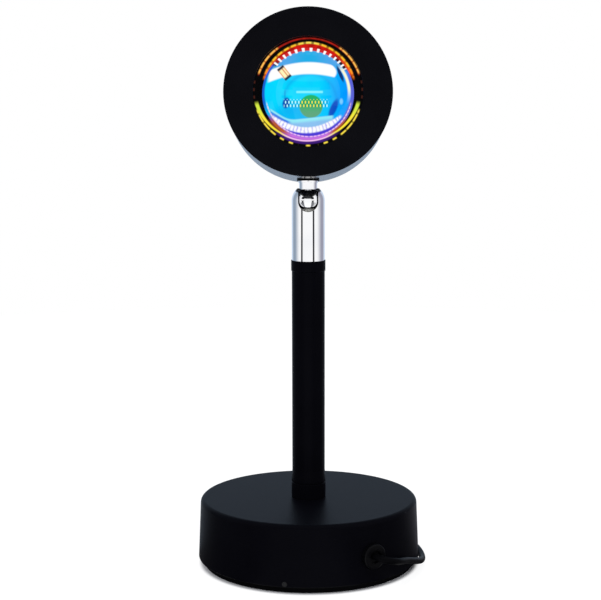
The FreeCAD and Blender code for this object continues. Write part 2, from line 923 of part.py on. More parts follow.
def switch_bottom_shell():
    low = (-switch_length, -switch_width, -1)
    high = (switch_length, switch_width, switch_cord_height)
    shell = switch_body().common(box_between(low, high))
    shell = shell.cut(switch_pair(cylinder(switch_screw_head_radius, -1, switch_screw_head_low)))
    return at_switch(shell).cut(switch_screws())


def switch_top_shell():
    low = (-switch_length, -switch_width, switch_cord_height)
    high = (switch_length, switch_width, 2 * switch_height)
    shell = switch_body().common(box_between(low, high))
    shell = shell.cut(cylinder(button_radius + button_gap, 0, 2 * switch_height))
    return at_switch(shell).cut(switch_screws())


def switch_button():
    flange_top = switch_height - switch_wall - 0.1
    top = switch_height + button_proud
    cap = cylinder(button_radius, flange_top - button_flange_thickness, top)
    cap = cap.makeFillet(button_edge_radius, edges_at(cap, UP, top, button_radius))
    flange = cylinder(button_flange_radius, flange_top - button_flange_thickness, flange_top)
    return at_switch(cap.fuse(flange))


def switch_module():
    """The latching contact block that the button presses."""
    low = switch_wall
    block = rounded_block(module_length, module_width, low, low + module_height, 0.6)
    return at_switch(block)


def button_spring():
    low = switch_wall + module_height + button_spring_wire
    high = switch_height - switch_wall - 0.1 - button_flange_thickness - button_spring_wire
    helix = Part.makeHelix((high - low) / button_spring_turns, high - low, button_spring_radius)
    wire_start = Vector(button_spring_radius, 0, 0)
    section = Part.Wire(Part.makeCircle(button_spring_wire, wire_start, BACKWARDS))
    spring = Part.Wire(helix).makePipeShell([section], True, True)
    spring.translate(UP * low)
    return at_switch(spring)


def at_plug(shape):
    """Moves a plug piece made along -Y from the origin to the end of the cord."""
    placed = shape.copy()
    placed.translate(Vector(plug_x, plug_body_y, plug_cord_height))
    return placed


def usb_overmould():
    """The plug's moulded body with its tapered strain relief."""
    half_width = plug_width / 2
    half_height = plug_height / 2
    body = box_between((-half_width, -plug_body_length, -half_height), (half_width, 0, half_height))
    along = [e for e in body.Edges if abs(e.tangentAt(e.FirstParameter).y) > 0.99]
    body = body.makeFillet(plug_edge_radius, along)
    relief_end = cord_radius + 0.4
    start = Vector(0, 0, 0)
    relief = Part.makeCone(plug_relief_radius, relief_end, plug_relief_length, start, BACKWARDS)
    body = body.fuse(relief)
    pocket = box_between((-usb_width / 2, -plug_body_length, -usb_thickness / 2),
                         (usb_width / 2, usb_inside_body - plug_body_length, usb_thickness / 2))
    return at_plug(body.cut(pocket))


def usb_shell():
    """The folded metal shell of the plug, open at its tip."""
    low = -plug_body_length - usb_length
    high = usb_inside_body - plug_body_length
    half_width = usb_width / 2
    half_height = usb_thickness / 2
    outside = box_between((-half_width, low, -half_height), (half_width, high, half_height))
    inner_width = half_width - usb_wall
    inner_height = half_height - usb_wall
    inner_high = high - usb_wall
    inside = box_between((-inner_width, low, -inner_height), (inner_width, inner_high, inner_height))
    shell = outside.cut(inside)
    for side in (-1, 1):
        window = box_between((side * 2.9 - 1.2, low + 5.0, usb_thickness / 2 - usb_wall),
                             (side * 2.9 + 1.2, low + 7.4, usb_thickness / 2))
        shell = shell.cut(window)
    return at_plug(shell)


def usb_tongue():
    low = -plug_body_length - usb_length + 0.6
    high = usb_inside_body - plug_body_length - usb_wall
    bottom = -usb_thickness / 2 + usb_wall
    half = usb_width / 2 - usb_wall - 0.1
    tongue = box_between((-half, low, bottom), (half, high, bottom + tongue_thickness))
    return at_plug(tongue)


def usb_contacts():
    """Four flat contacts on the tongue."""
    low = -plug_body_length - usb_length + 1.6
    high = low + 7.0
    bottom = -usb_thickness / 2 + usb_wall + tongue_thickness
    contacts = []
    for place in (-3.5, -1.2, 1.2, 3.5):
        contact = box_between((place - 0.5, low, bottom), (place + 0.5, high, bottom + 0.2))
        contacts.append(contact)
    return at_plug(Part.makeCompound(contacts))


def stand_lead():
    """The inner lead from the grommet, over the weight and up the pole to the swivel."""
    start = cover_radius(gland_height) - cover_wall - gland_inner_length
    over_weight = plate_top + weight_height + 3.3
    seat_low = ball_height - seat_below_centre - seat_height
    places = [
        (start, gland_height),
        (start - 3.0, gland_height),
        (start - 12.0, over_weight - 0.2),
        (start - 27.0, over_weight + 0.1),
        (5.4, over_weight),
        (2.3, over_weight + 1.8),
        (0.5, over_weight + 4.9),
        (0.2, over_weight + 14.0),
        (0.4, tube_bottom + tube_length * 0.3),
        (-0.3, tube_bottom + tube_length * 0.65),
        (0.0, barrel_bottom - 4.0),
        (0.1, seat_low),
    ]
    angle = math.radians(gland_azimuth - 90.0)
    route = [(r * math.cos(angle), r * math.sin(angle), height) for r, height in places]
    return cord_tube("stand_lead", route, wire_radius)


def head_lead():
    """The lead from the neck, under the lens tube and in to the LED board."""
    axis_height = head_above_ball + head_radius
    gap_height = (neck_top + axis_height - lens_tube_radius) / 2
    entry_y = face_y + led_front_depth - wire_radius
    pad_radius = board_radius - wire_radius - 0.3
    route = [
        (0, 0, ball_radius),
        (0, 0, gap_height),
        (0, entry_y, gap_height + 0.02),
        (0, entry_y + 0.02, axis_height - pad_radius),
    ]
    return above_ball(cord_tube("head_lead", route, wire_radius))


PIECES = {
    "base_cover": base_cover,
    "bottom_plate": bottom_plate,
    "foot_pad": foot_pad,
    "counterweight": counterweight,
    "counterweight_screws": weight_screws,
    "side_screws": lambda: side_screws(0.0),
    "cable_gland": cable_gland,
    "gland_clip": gland_clip,
    "base_nut": base_nut,
    "lock_washer": lock_washer,
    "lower_rod": lower_rod,
    "foot_collar": foot_collar,
    "pole_tube": pole_tube,
    "pole_foot_insert": pole_foot_insert,
    "pole_top_cap": pole_top_cap,
    "upper_rod": upper_rod,
    "swivel_barrel": swivel_barrel,
    "friction_seat": friction_seat,
    "disc_springs": disc_springs,
    "pivot_ball": pivot_ball,
    "neck_tube": neck_tube,
    "neck_ring": neck_ring,
    "neck_nut": neck_nut,
    "neck_washer": neck_washer,
    "head_saddle": head_saddle,
    "head_shell": head_shell,
    "rear_cover": rear_cover,
    "rear_cover_screws": rear_screws,
    "lens_tube": lens_tube,
    "lens": lens,
    "colour_film": colour_film,
    "lens_retainer": lens_retainer,
    "reflector": reflector,
    "led_chip": led_chip,
    "led_board": led_board,
    "board_screws": board_screws,
    "heat_sink": heat_sink,
    "heat_sink_screws": lambda: sink_screws(0.0),
    "stand_lead": stand_lead,
    "head_lead": head_lead,
    "cord_lead": lambda: cord_tube("cord_lead", LEAD_ROUTE, cord_radius),
    "cord_middle": cord_middle,
    "cord_tail": cord_tail,
    "cord_coil": cord_coil,
    "cord_ties": cord_ties,
    "switch_bottom_shell": switch_bottom_shell,
    "switch_top_shell": switch_top_shell,
    "switch_module": switch_module,
    "switch_screws": switch_screws,
    "switch_button": switch_button,
    "button_spring": button_spring,
    "usb_overmould": usb_overmould,
    "usb_shell": usb_shell,
    "usb_tongue": usb_tongue,
    "usb_contacts": usb_contacts,
}

os.makedirs("parts", exist_ok=True)
for piece_name, make_piece in PIECES.items():
    piece = make_piece()
    print("%s: %d solids, volume %.1f" % (piece_name, len(piece.Solids), piece.Volume))
    if not piece.isValid():
        raise ValueError(piece_name + " is not a valid shape")
    piece.exportStep("parts/" + piece_name + ".step")
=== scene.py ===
"""A sunset projection lamp on a plain pale floor, dressed for the camera.

The lamp's nodes keep their shapes from the frame and get their materials here. Only the free
cord is made anew. Lengths are in millimetres and angles in degrees, except where a comment
says otherwise.
"""

import json
import math

import bmesh
import bpy
from mathutils import Matrix, Vector


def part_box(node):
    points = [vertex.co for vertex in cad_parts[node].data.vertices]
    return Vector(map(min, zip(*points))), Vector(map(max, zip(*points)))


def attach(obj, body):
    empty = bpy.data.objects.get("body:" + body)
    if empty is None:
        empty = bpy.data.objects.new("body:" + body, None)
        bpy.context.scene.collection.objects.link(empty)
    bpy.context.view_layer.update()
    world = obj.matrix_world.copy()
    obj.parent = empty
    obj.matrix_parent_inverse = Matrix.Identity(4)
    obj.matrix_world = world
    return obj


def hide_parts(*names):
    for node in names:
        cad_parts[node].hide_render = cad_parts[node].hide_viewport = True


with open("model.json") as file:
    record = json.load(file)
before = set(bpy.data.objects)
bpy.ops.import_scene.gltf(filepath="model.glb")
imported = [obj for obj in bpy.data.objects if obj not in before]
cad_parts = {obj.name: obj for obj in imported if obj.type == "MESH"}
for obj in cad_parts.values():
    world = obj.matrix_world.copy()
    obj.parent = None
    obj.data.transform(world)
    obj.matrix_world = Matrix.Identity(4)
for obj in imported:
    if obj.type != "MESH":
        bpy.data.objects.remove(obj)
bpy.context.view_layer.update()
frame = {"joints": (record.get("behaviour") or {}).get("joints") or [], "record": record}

MM = 0.001


def node(name):
    return bpy.data.objects[name]


def joint(name):
    return next(row for row in frame["joints"] if row["name"] == name)


def link(piece):
    """Puts a new object into the scene."""
    bpy.context.scene.collection.objects.link(piece)


# ---------------------------------------------------------------- camera

# The photograph's viewpoint, in metres, and the camera's turns, in radians
CAMERA_PLACE = (0.0, -0.7, 0.21855)
CAMERA_PAN = 0.0050
CAMERA_DIP = 0.1400
CAMERA_ROLL = -0.0020
FOCAL_LENGTH = 94.81
SENSOR_WIDTH = 36.0
CLIP_START = 0.02
CLIP_END = 50.0


def make_camera():
    """A camera at the photograph's viewpoint, 0.7 m in front of the lamp."""
    data = bpy.data.cameras.new("camera")
    data.sensor_fit = "HORIZONTAL"
    data.sensor_width = SENSOR_WIDTH
    data.lens = FOCAL_LENGTH
    data.clip_start = CLIP_START
    data.clip_end = CLIP_END
    camera = bpy.data.objects.new("camera", data)
    link(camera)
    place = Matrix.Translation(Vector(CAMERA_PLACE))
    pan = Matrix.Rotation(CAMERA_PAN, 4, "Z")
    pitch = Matrix.Rotation(math.pi / 2 - CAMERA_DIP, 4, "X")
    roll = Matrix.Rotation(CAMERA_ROLL, 4, "Z")
    camera.matrix_world = place @ pan @ pitch @ roll
    bpy.context.scene.camera = camera


# ---------------------------------------------------------------- cord

# The cord's points: out of the base and round it to the switch
LEAD_ROUTE = [
    (28.25, -41.88, 14.5),
    (29.90, -44.40, 14.5),
    (32.40, -46.20, 14.3),
    (35.60, -46.10, 13.7),
    (38.40, -43.60, 12.8),
    (40.60, -38.80, 11.6),
    (42.90, -32.20, 9.8),
    (45.80, -25.20, 7.4),
    (48.80, -17.40, 4.9),
    (50.90, -9.20, 2.7),
    (51.90, -0.80, 1.5),
    (51.40, 9.20, 1.5),
    (49.00, 20.20, 1.5),
    (48.90, 33.60, 1.5),
    (48.40, 45.60, 1.6),
    (45.20, 54.30, 2.2),
    (41.90, 58.10, 2.9),
    (37.50, 60.00, 3.7),
    (33.00, 60.00, 4.0),
]
# From the switch to the coil
MIDDLE_ROUTE = [
    (-11.00, 60.00, 4.0),
    (-15.50, 60.00, 3.9),
    (-19.90, 61.60, 3.5),
    (-23.60, 65.20, 3.0),
    (-26.10, 71.00, 2.5),
    (-27.30, 79.60, 2.1),
]
# From the coil to the plug
TAIL_ROUTE = [
    (-16.70, 110.50, 10.9),
    (-8.80, 116.70, 9.9),
    (0.90, 121.90, 7.7),
    (11.60, 124.20, 5.0),
    (19.50, 123.70, 3.0),
    (24.40, 121.10, 2.6),
    (27.50, 117.40, 3.3),
    (28.90, 113.10, 4.0),
    (28.90, 108.90, 4.0),
]
CORD_RADIUS = 1.5
COIL_CENTRE = (-7.5, 91.5)
COIL_RADIUS = 20.0
COIL_BOTTOM = 2.1
COIL_TURNS_ACROSS = 3
COIL_LENGTH_IN_TURNS = 11.125
COIL_POINTS_PER_TURN = 16
# The part of a turn after which the cord moves over to the next turn
COIL_MOVE_START = 0.7


def coil_turn(number):
    """A turn's radius and height: the layers are wound inwards and outwards by turns."""
    layer, step = divmod(number, COIL_TURNS_ACROSS)
    inward = step if layer % 2 == 0 else COIL_TURNS_ACROSS - 1 - step
    return COIL_RADIUS - 2 * CORD_RADIUS * inward, COIL_BOTTOM + 2 * CORD_RADIUS * layer


def coil_points():
    """The coil's turns, side by side and on each other, clockwise from above."""
    points = []
    count = int(COIL_LENGTH_IN_TURNS * COIL_POINTS_PER_TURN)
    outward = 1.0 / math.cos(math.pi / COIL_POINTS_PER_TURN)
    for number in range(1, count + 1):
        turns = number / COIL_POINTS_PER_TURN
        whole = int(turns)
        move = max(0.0, (turns - whole - COIL_MOVE_START) / (1.0 - COIL_MOVE_START))
        move = move * move * (3.0 - 2.0 * move)
        radius, height = coil_turn(whole)
        next_radius, next_height = coil_turn(whole + 1)
        radius = radius * (1 - move) + next_radius * move
        height = height * (1 - move) + next_height * move
        angle = math.pi - 2 * math.pi * turns
        x = COIL_CENTRE[0] + radius * outward * math.cos(angle)
        y = COIL_CENTRE[1] + radius * outward * math.sin(angle)
        points.append((x, y, height))
    return points


def cord_curve(name, route):
    """One open NURBS spline along a cord's points, as thick as the cord."""
    curve = bpy.data.curves.new(name, "CURVE")
    curve.dimensions = "3D"
    curve.bevel_depth = 1.0
    curve.bevel_resolution = 6
    curve.resolution_u = 8
    curve.use_fill_caps = True
    spline = curve.splines.new("NURBS")
    spline.points.add(len(route) - 1)
    for point, place in zip(spline.points, route):
        point.co = (place[0] * MM, place[1] * MM, place[2] * MM, 1.0)
        point.radius = CORD_RADIUS * MM
    spline.order_u = 3
    spline.use_endpoint_u = True
    piece = bpy.data.objects.new(name, curve)
    link(piece)
    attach(piece, "base")
    return piece


def make_cords():
    """The cord in two lengths: from the base to the switch, and from there to the plug."""
    lead = cord_curve("cord_to_switch", LEAD_ROUTE)
    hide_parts("cord_lead")
    route = MIDDLE_ROUTE + coil_points() + TAIL_ROUTE
    rest = cord_curve("cord_to_plug", route)
    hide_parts("cord_middle", "cord_coil", "cord_tail")
    return lead, rest


# ---------------------------------------------------------------- node fields

DEGREES = 180.0 / math.pi
# A Mix node's sockets when it mixes colours
MIX_SHARE, MIX_UNDER, MIX_OVER, MIX_RESULT = 0, 6, 7, 2
# Nearly all of a noise's values lie between these two
NOISE_LOW, NOISE_HIGH = 0.3, 0.7


class Field:
    """A number or colour that varies over a surface. In sums and products it comes first."""

    def __init__(self, tree, socket):
        self.tree = tree
        self.socket = socket

    def __add__(self, other):
        return combine("ADD", self, other)

    def __sub__(self, other):
        return combine("SUBTRACT", self, other)

    def __rsub__(self, other):
        return combine("SUBTRACT", other, self)

    def __mul__(self, other):
        return combine("MULTIPLY", self, other)

    def __truediv__(self, other):
        return combine("DIVIDE", self, other)


def plug_in(socket, value):
    """Sets a socket to a number or colour, or links a field to it."""
    if isinstance(value, Field):
        value.tree.links.new(value.socket, socket)
    else:
        socket.default_value = value


def combine(operation, *values):
    """The result of a Math node. At least one of its values is a field."""
    tree = next(value.tree for value in values if isinstance(value, Field))
    maths = tree.nodes.new("ShaderNodeMath")
    maths.operation = operation
    for socket, value in zip(maths.inputs, values):
        plug_in(socket, value)
    return Field(tree, maths.outputs[0])


def size_of(field):
    return combine("ABSOLUTE", field)


def distance(first, *others):
    """The length of a line whose lengths along the axes are given."""
    total = first * first
    for other in others:
        total = total + other * other
    return combine("SQRT", total)


def polar(across, up):
    """The distance from the middle, and the angle from the top, clockwise."""
    return distance(across, up), combine("ARCTAN2", across, up) * DEGREES


def step_up(field, place, soft):
    """0 below a place and 1 above it, with a soft edge. The place may be a field."""
    ramp = field.tree.nodes.new("ShaderNodeMapRange")
    ramp.interpolation_type = "SMOOTHSTEP"
    plug_in(ramp.inputs["Value"], field)
    plug_in(ramp.inputs["From Min"], place - soft)
    plug_in(ramp.inputs["From Max"], place + soft)
    return Field(field.tree, ramp.outputs["Result"])


def step_down(field, place, soft):
    """1 below a place and 0 above it, with a soft edge."""
    return 1.0 - step_up(field, place, soft)


def between(field, low, high, soft):
    """1 between two places and 0 outside them, with soft edges."""
    return step_up(field, low, soft) - step_up(field, high, soft)


def near(field, middle, half, soft):
    """1 within half a width of a middle place. Both may be fields."""
    return step_down(size_of(field - middle), half, soft)


def blot(across, up, centre, size, tilt, soft):
    """1 inside a tilted ellipse, given by its centre and its half sizes."""
    turn = math.radians(tilt)
    x = across - centre[0]
    y = up - centre[1]
    along = x * math.cos(turn) + y * math.sin(turn)
    aside = y * math.cos(turn) - x * math.sin(turn)
    return step_down(distance(along / size[0], aside / size[1]), 1.0, soft)


def dashes(angle, pitch, share, soft, shift=0.0):
    """Marks that repeat around a circle and fill a share of their pitch."""
    wave = combine("COSINE", (angle - shift) * (2.0 * math.pi / pitch))
    return step_up(wave, math.cos(math.pi * share), soft)


def spread(field, low, high, start=NOISE_LOW, stop=NOISE_HIGH):
    """Maps a field's range, from start to stop, to a range of values."""
    ramp = field.tree.nodes.new("ShaderNodeMapRange")
    plug_in(ramp.inputs["Value"], field)
    ramp.inputs["From Min"].default_value = start
    ramp.inputs["From Max"].default_value = stop
    ramp.inputs["To Min"].default_value = low
    ramp.inputs["To Max"].default_value = high
    return Field(field.tree, ramp.outputs["Result"])


def srgb(red, green, blue):
    """A linear colour from everyday 0 to 255 values."""
    linear = []
    for value in (red, green, blue):
        share = value / 255.0
        linear.append(share / 12.92 if share <= 0.04045 else ((share + 0.055) / 1.055) ** 2.4)
    return (*linear, 1.0)


def mix_colours(under, over, mask):
    """One colour laid over another where the mask is 1. Either colour may be a field."""
    mixer = mask.tree.nodes.new("ShaderNodeMix")
    mixer.data_type = "RGBA"
    mixer.clamp_factor = True
    plug_in(mixer.inputs[MIX_SHARE], mask)
    plug_in(mixer.inputs[MIX_UNDER], under)
    plug_in(mixer.inputs[MIX_OVER], over)
    return Field(mask.tree, mixer.outputs[MIX_RESULT])


def axes(tree, coordinates):
    """The three parts of one of the kinds of texture coordinates."""
    place = tree.nodes.new("ShaderNodeTexCoord")
    split = tree.nodes.new("ShaderNodeSeparateXYZ")
    tree.links.new(place.outputs[coordinates], split.inputs[0])
    return [Field(tree, part) for part in split.outputs]


def object_axes(tree):
    """A point's place in the object's own axes, in millimetres."""
    return [part * (1.0 / MM) for part in axes(tree, "Object")]


def bearing(x, y):
    """The angle around the lamp from its front, positive towards +X."""
    return combine("ARCTAN2", x, y * -1.0) * DEGREES


def noise(tree, scale, detail=3.0, roughness=0.55, stretch=(1.0, 1.0, 1.0)):
    """Fine noise fixed to the object; the scale is in cells per metre."""
    place = tree.nodes.new("ShaderNodeTexCoord")
    mapping = tree.nodes.new("ShaderNodeMapping")
    mapping.inputs["Scale"].default_value = stretch
    texture = tree.nodes.new("ShaderNodeTexNoise")
    texture.inputs["Scale"].default_value = scale
    texture.inputs["Detail"].default_value = detail
    texture.inputs["Roughness"].default_value = roughness
    tree.links.new(place.outputs["Object"], mapping.inputs["Vector"])
    tree.links.new(mapping.outputs["Vector"], texture.inputs["Vector"])
    return Field(tree, texture.outputs["Fac"])


def ray_masks(tree):
    """1 for what is seen plainly or through glass, and 1 for what shiny things reflect."""
    path = tree.nodes.new("ShaderNodeLightPath")
    straight = Field(tree, path.outputs["Is Camera Ray"])
    through = Field(tree, path.outputs["Is Transmission Ray"])
    reflected = Field(tree, path.outputs["Is Glossy Ray"])
    return combine("MAXIMUM", straight, through), reflected


# ---------------------------------------------------------------- plain finishes

WHITE = srgb(255, 255, 255)
BLACK = srgb(0, 0, 0)

# The slow change of colour in every plain finish: its cells per metre, and its share of the
# whole change, of which the grain has the rest
CLOUD_SCALE = 60.0
CLOUD_SHARE = 0.6

# Each plain finish varies between two everyday colours and over a range of roughness. Its
# grain is in cells per metre, and its level is how strongly it reflects.
PLAIN_FINISHES = {
    "stand_paint": dict(dark=(4, 4, 8), light=(7, 7, 12), roughness=(0.34, 0.46),
                        grain=2600.0, depth=0.02, level=0.02),
    "dichroic_film": dict(dark=(0, 120, 220), light=(0, 210, 255), roughness=(0.05, 0.12),
                          grain=300.0, depth=0.001, metallic=0.5),
    "reflector_silver": dict(dark=(205, 206, 208), light=(232, 232, 234), roughness=(0.08, 0.16),
                             grain=500.0, depth=0.004, metallic=1.0),
    "led_phosphor": dict(dark=(226, 178, 20), light=(244, 206, 60), roughness=(0.35, 0.5),
                         grain=1800.0, depth=0.03),
    "board_white": dict(dark=(206, 208, 206), light=(228, 229, 226), roughness=(0.4, 0.55),
                        grain=900.0, depth=0.01),
    "sink_aluminium": dict(dark=(150, 152, 156), light=(186, 188, 192), roughness=(0.28, 0.42),
                           grain=1500.0, depth=0.012, metallic=1.0, stretch=(1.0, 1.0, 0.1)),
    "zinc_steel": dict(dark=(150, 152, 158), light=(188, 190, 194), roughness=(0.22, 0.36),
                       grain=1200.0, depth=0.01, metallic=1.0),
    "spring_steel": dict(dark=(128, 128, 132), light=(160, 160, 165), roughness=(0.18, 0.3),
                         grain=1500.0, depth=0.006, metallic=1.0),
    "black_screws": dict(dark=(14, 14, 16), light=(24, 24, 27), roughness=(0.3, 0.42),
                         grain=2200.0, depth=0.01, level=0.16),
    "weight_iron": dict(dark=(9, 9, 10), light=(17, 17, 18), roughness=(0.6, 0.8),
                        grain=700.0, depth=0.06, level=0.05),
    "foot_foam": dict(dark=(7, 7, 8), light=(12, 12, 13), roughness=(0.8, 0.95),
                      grain=1400.0, depth=0.08, level=0.02),
    "gland_plastic": dict(dark=(4, 4, 6), light=(8, 8, 10), roughness=(0.26, 0.36),
                          grain=1800.0, depth=0.01, level=0.075),
    "washer_plastic": dict(dark=(4, 4, 6), light=(8, 8, 10), roughness=(0.3, 0.42),
                           grain=1800.0, depth=0.01, level=0.04),
    "seat_nylon": dict(dark=(214, 213, 204), light=(228, 227, 220), roughness=(0.35, 0.5),
                       grain=1500.0, depth=0.01),
    "cord_jacket": dict(dark=(4, 4, 6), light=(8, 8, 10), roughness=(0.34, 0.46),
                        grain=1600.0, depth=0.012, level=0.022),
    "tie_strap": dict(dark=(14, 14, 15), light=(24, 24, 26), roughness=(0.45, 0.6),
                      grain=1800.0, depth=0.03, level=0.3),
    "switch_plastic": dict(dark=(10, 10, 12), light=(17, 17, 19), roughness=(0.4, 0.52),
                           grain=2400.0, depth=0.02, level=0.35),
    "button_plastic": dict(dark=(22, 22, 25), light=(32, 32, 36), roughness=(0.14, 0.22),
                           grain=1500.0, depth=0.006),
    "usb_nickel": dict(dark=(176, 174, 170), light=(204, 202, 198), roughness=(0.18, 0.3),
                       grain=1400.0, depth=0.006, metallic=1.0),
    "usb_tongue_plastic": dict(dark=(214, 214, 210), light=(230, 230, 226), roughness=(0.35, 0.5),
                               grain=1200.0, depth=0.01),
    "contact_gold": dict(dark=(214, 166, 78), light=(236, 194, 104), roughness=(0.15, 0.28),
                         grain=1400.0, depth=0.004, metallic=1.0),
}


def new_material(name):
    """A new material, with its node tree and its shader."""
    material = bpy.data.materials.new(name)
    material.use_nodes = True
    tree = material.node_tree
    shader = tree.nodes["Principled BSDF"]
    return material, tree, shader


def bump(shader, height, depth):
    """Raises the surface by a field, at most by a depth in millimetres."""
    relief = height.tree.nodes.new("ShaderNodeBump")
    relief.inputs["Distance"].default_value = depth * MM
    relief.inputs["Strength"].default_value = 1.0
    plug_in(relief.inputs["Height"], height)
    height.tree.links.new(relief.outputs["Normal"], shader.inputs["Normal"])


def plain_finish(name, dark, light, roughness, grain, depth, metallic=0.0, level=0.5,
                 stretch=(1.0, 1.0, 1.0)):
    """A finish whose colour and gloss vary a little, with a fine grain."""
    material, tree, shader = new_material(name)
    cloud = noise(tree, CLOUD_SCALE, detail=2.0)
    fine = noise(tree, grain, detail=3.0, roughness=0.6, stretch=stretch)
    mixed = spread(cloud * CLOUD_SHARE + fine * (1.0 - CLOUD_SHARE), 0.0, 1.0)
    plug_in(shader.inputs["Base Color"], mix_colours(srgb(*dark), srgb(*light), mixed))
    plug_in(shader.inputs["Roughness"], spread(fine, roughness[0], roughness[1]))
    shader.inputs["Metallic"].default_value = metallic
    shader.inputs["Specular IOR Level"].default_value = level
    bump(shader, fine, depth)
    return material


# ---------------------------------------------------------------- plating

# From the barrel's bottom to the ball's centre, where its dome starts
BARREL_LENGTH = 26.4
BALL_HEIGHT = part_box("swivel_barrel")[0][2] / MM + BARREL_LENGTH
# Nearer than this to the barrel's axis, or in the dome to the ball's centre, is the bore
BORE_EDGE = 6.8
# The bore's painted shade
BORE_SHADE = srgb(14, 14, 18)


def chrome_plate(name, shaded_bore=False):
    """Bright plating with the faintest lengthways polishing. The barrel's bore has painted shade.
    """
    material, tree, shader = new_material(name)
    fine = noise(tree, 900.0, detail=2.0, roughness=0.5, stretch=(1.0, 1.0, 0.06))
    cloud = noise(tree, 90.0, detail=2.0)
    tint = mix_colours(srgb(244, 245, 248), srgb(252, 252, 253), spread(cloud, 0.0, 1.0))
    # Painted shade: the bore is darkened
    if shaded_bore:
        x, y, z = object_axes(tree)
        above = combine("MAXIMUM", z - BALL_HEIGHT, 0.0)
        outside = step_up(distance(x, y, above), BORE_EDGE, 0.08)
        tint = mix_colours(BORE_SHADE, tint, outside)
    plug_in(shader.inputs["Base Color"], tint)
    plug_in(shader.inputs["Roughness"], spread(fine, 0.03, 0.08))
    shader.inputs["Metallic"].default_value = 1.0
    bump(shader, fine, 0.002)
    return material


# ---------------------------------------------------------------- head's axes

# The head turns about the neck, which leans back at rest
NECK_AXIS = joint("head_turn")["axis"]
LEAN = math.atan2(NECK_AXIS[1], NECK_AXIS[2])
# From the ball's centre up the neck to the head's middle, and from there forward to its face
HEAD_RISE = 45.7
FACE_REACH = 23.0
FACE_Y = HEAD_RISE * math.sin(LEAN) - FACE_REACH * math.cos(LEAN)
FACE_Z = BALL_HEIGHT + HEAD_RISE * math.cos(LEAN) + FACE_REACH * math.sin(LEAN)
# How far out the face turns into the round wall, and how much less rough the wall is
FACE_EDGE = 35.8
WALL_POLISH = 0.22

# The patterns behind the face sit where the photograph's viewpoint shows them: higher for
# each millimetre of depth, and a little to one side. The lens's picture is also lowered.
VIEW_TILT = 0.11
VIEW_SHIFT = 0.3
LENS_DROP = 0.55


def head_fields(tree):
    """Across and up the front face, and the depth behind it."""
    x, y, z = object_axes(tree)
    y = y - FACE_Y
    z = z - FACE_Z
    up = z * math.cos(LEAN) + y * math.sin(LEAN)
    depth = y * math.cos(LEAN) - z * math.sin(LEAN)
    return x, up, depth


def head_paint():
    """The head's black paint, smoother on the round wall than on the face."""
    material = plain_finish("head_paint", dark=(3, 3, 7), light=(8, 8, 13),
                            roughness=(0.36, 0.46), grain=3200.0, depth=0.014, level=0.05)
    tree = material.node_tree
    socket = tree.nodes["Principled BSDF"].inputs["Roughness"]
    everywhere = Field(tree, socket.links[0].from_socket)
    x, up = head_fields(tree)[:2]
    wall = step_up(distance(x, up), FACE_EDGE, 0.3)
    plug_in(socket, everywhere - wall * WALL_POLISH)
    return material


# ---------------------------------------------------------------- lens

# Places in the lens's picture are x across and y up from its middle. Around the middle they
# are a reach outwards and an angle clockwise from the top, or turned, that angle without its
# sign. The last number of a step, between or near is how soft its edge is.

# The lens's picture is painted light: the studio's reflections and the lit light engine
CYAN = srgb(0, 222, 255)
LENS_BLUE = srgb(0, 150, 255)
INDIGO = srgb(78, 60, 214)
AMBER = srgb(255, 196, 44)
ORANGE = srgb(255, 126, 30)
YELLOW = srgb(255, 232, 58)


def lens_depths(x, y):
    """Painted reflection in the blue glass: cyan at the left, deeper to the right and at the
    bottom.
    """
    cloud = spread(noise(x.tree, 160.0, detail=2.0), 0.0, 1.0)
    colour = mix_colours(CYAN, LENS_BLUE, step_up(x, 9.0, 8.0))
    colour = mix_colours(colour, srgb(10, 186, 255), cloud * 0.45)
    # Painted reflection: a darker pool, a dark blue arch, a crown at the top and paler shoulders
    pool = blot(x, y, centre=(-7.0, -9.5), size=(10.5, 4.6), tilt=12.0, soft=0.6)
    colour = mix_colours(colour, srgb(0, 146, 236), pool * 0.5)
    reach, angle = polar(x - 0.6, y + 3.2)
    arch = near(reach, 11.2, 0.3, 1.5) * step_down(size_of(angle), 100.0, 30.0)
    colour = mix_colours(colour, srgb(10, 140, 226), arch * 0.6)
    crown = step_up(y, 12.6 - x * x / 90.0, 1.0)
    colour = mix_colours(colour, srgb(34, 174, 232), crown)
    shoulders = step_up(size_of(x), 6.0, 5.0) * step_up(y, 11.0, 2.0)
    return mix_colours(colour, srgb(106, 158, 238), shoulders * 0.5)


def lens_softbox(x, y, colour):
    """A painted reflection of the studio's long softbox, bent by the glass."""
    low = 7.95 - x * x / 88.0
    high = 13.0 - x * x / 84.0
    rise = y - 8.7
    left, right = -17.4, 11.9 - rise * rise * 0.2
    box = between(y, low, high, 0.45) * step_down(x, right, 0.5) * step_up(x, left, 0.8)
    return mix_colours(colour, WHITE, box)


def lens_window_reflection(x, y, colour):
    """A painted reflection of a small lit window with glazing bars, across the softbox's left end.
    """
    middle = (-10.5, 8.5)
    half_length, half_width = 3.1, 1.65
    cosine, sine = 0.62, 0.78
    across = x - middle[0]
    rise = y - middle[1]
    along = across * cosine - rise * sine
    aside = across * sine + rise * cosine
    window = step_down(size_of(along), half_length, 0.35)
    window = window * step_down(size_of(aside), half_width, 0.3)
    bars = near(aside, 0.35, 0.2, 0.3) + near(size_of(aside), 1.45, 0.2, 0.35)
    pane = mix_colours(srgb(255, 247, 190), srgb(226, 104, 44), bars)
    pane = mix_colours(pane, srgb(14, 30, 60), step_up(size_of(along), 2.0, 0.4))
    return mix_colours(colour, pane, window)


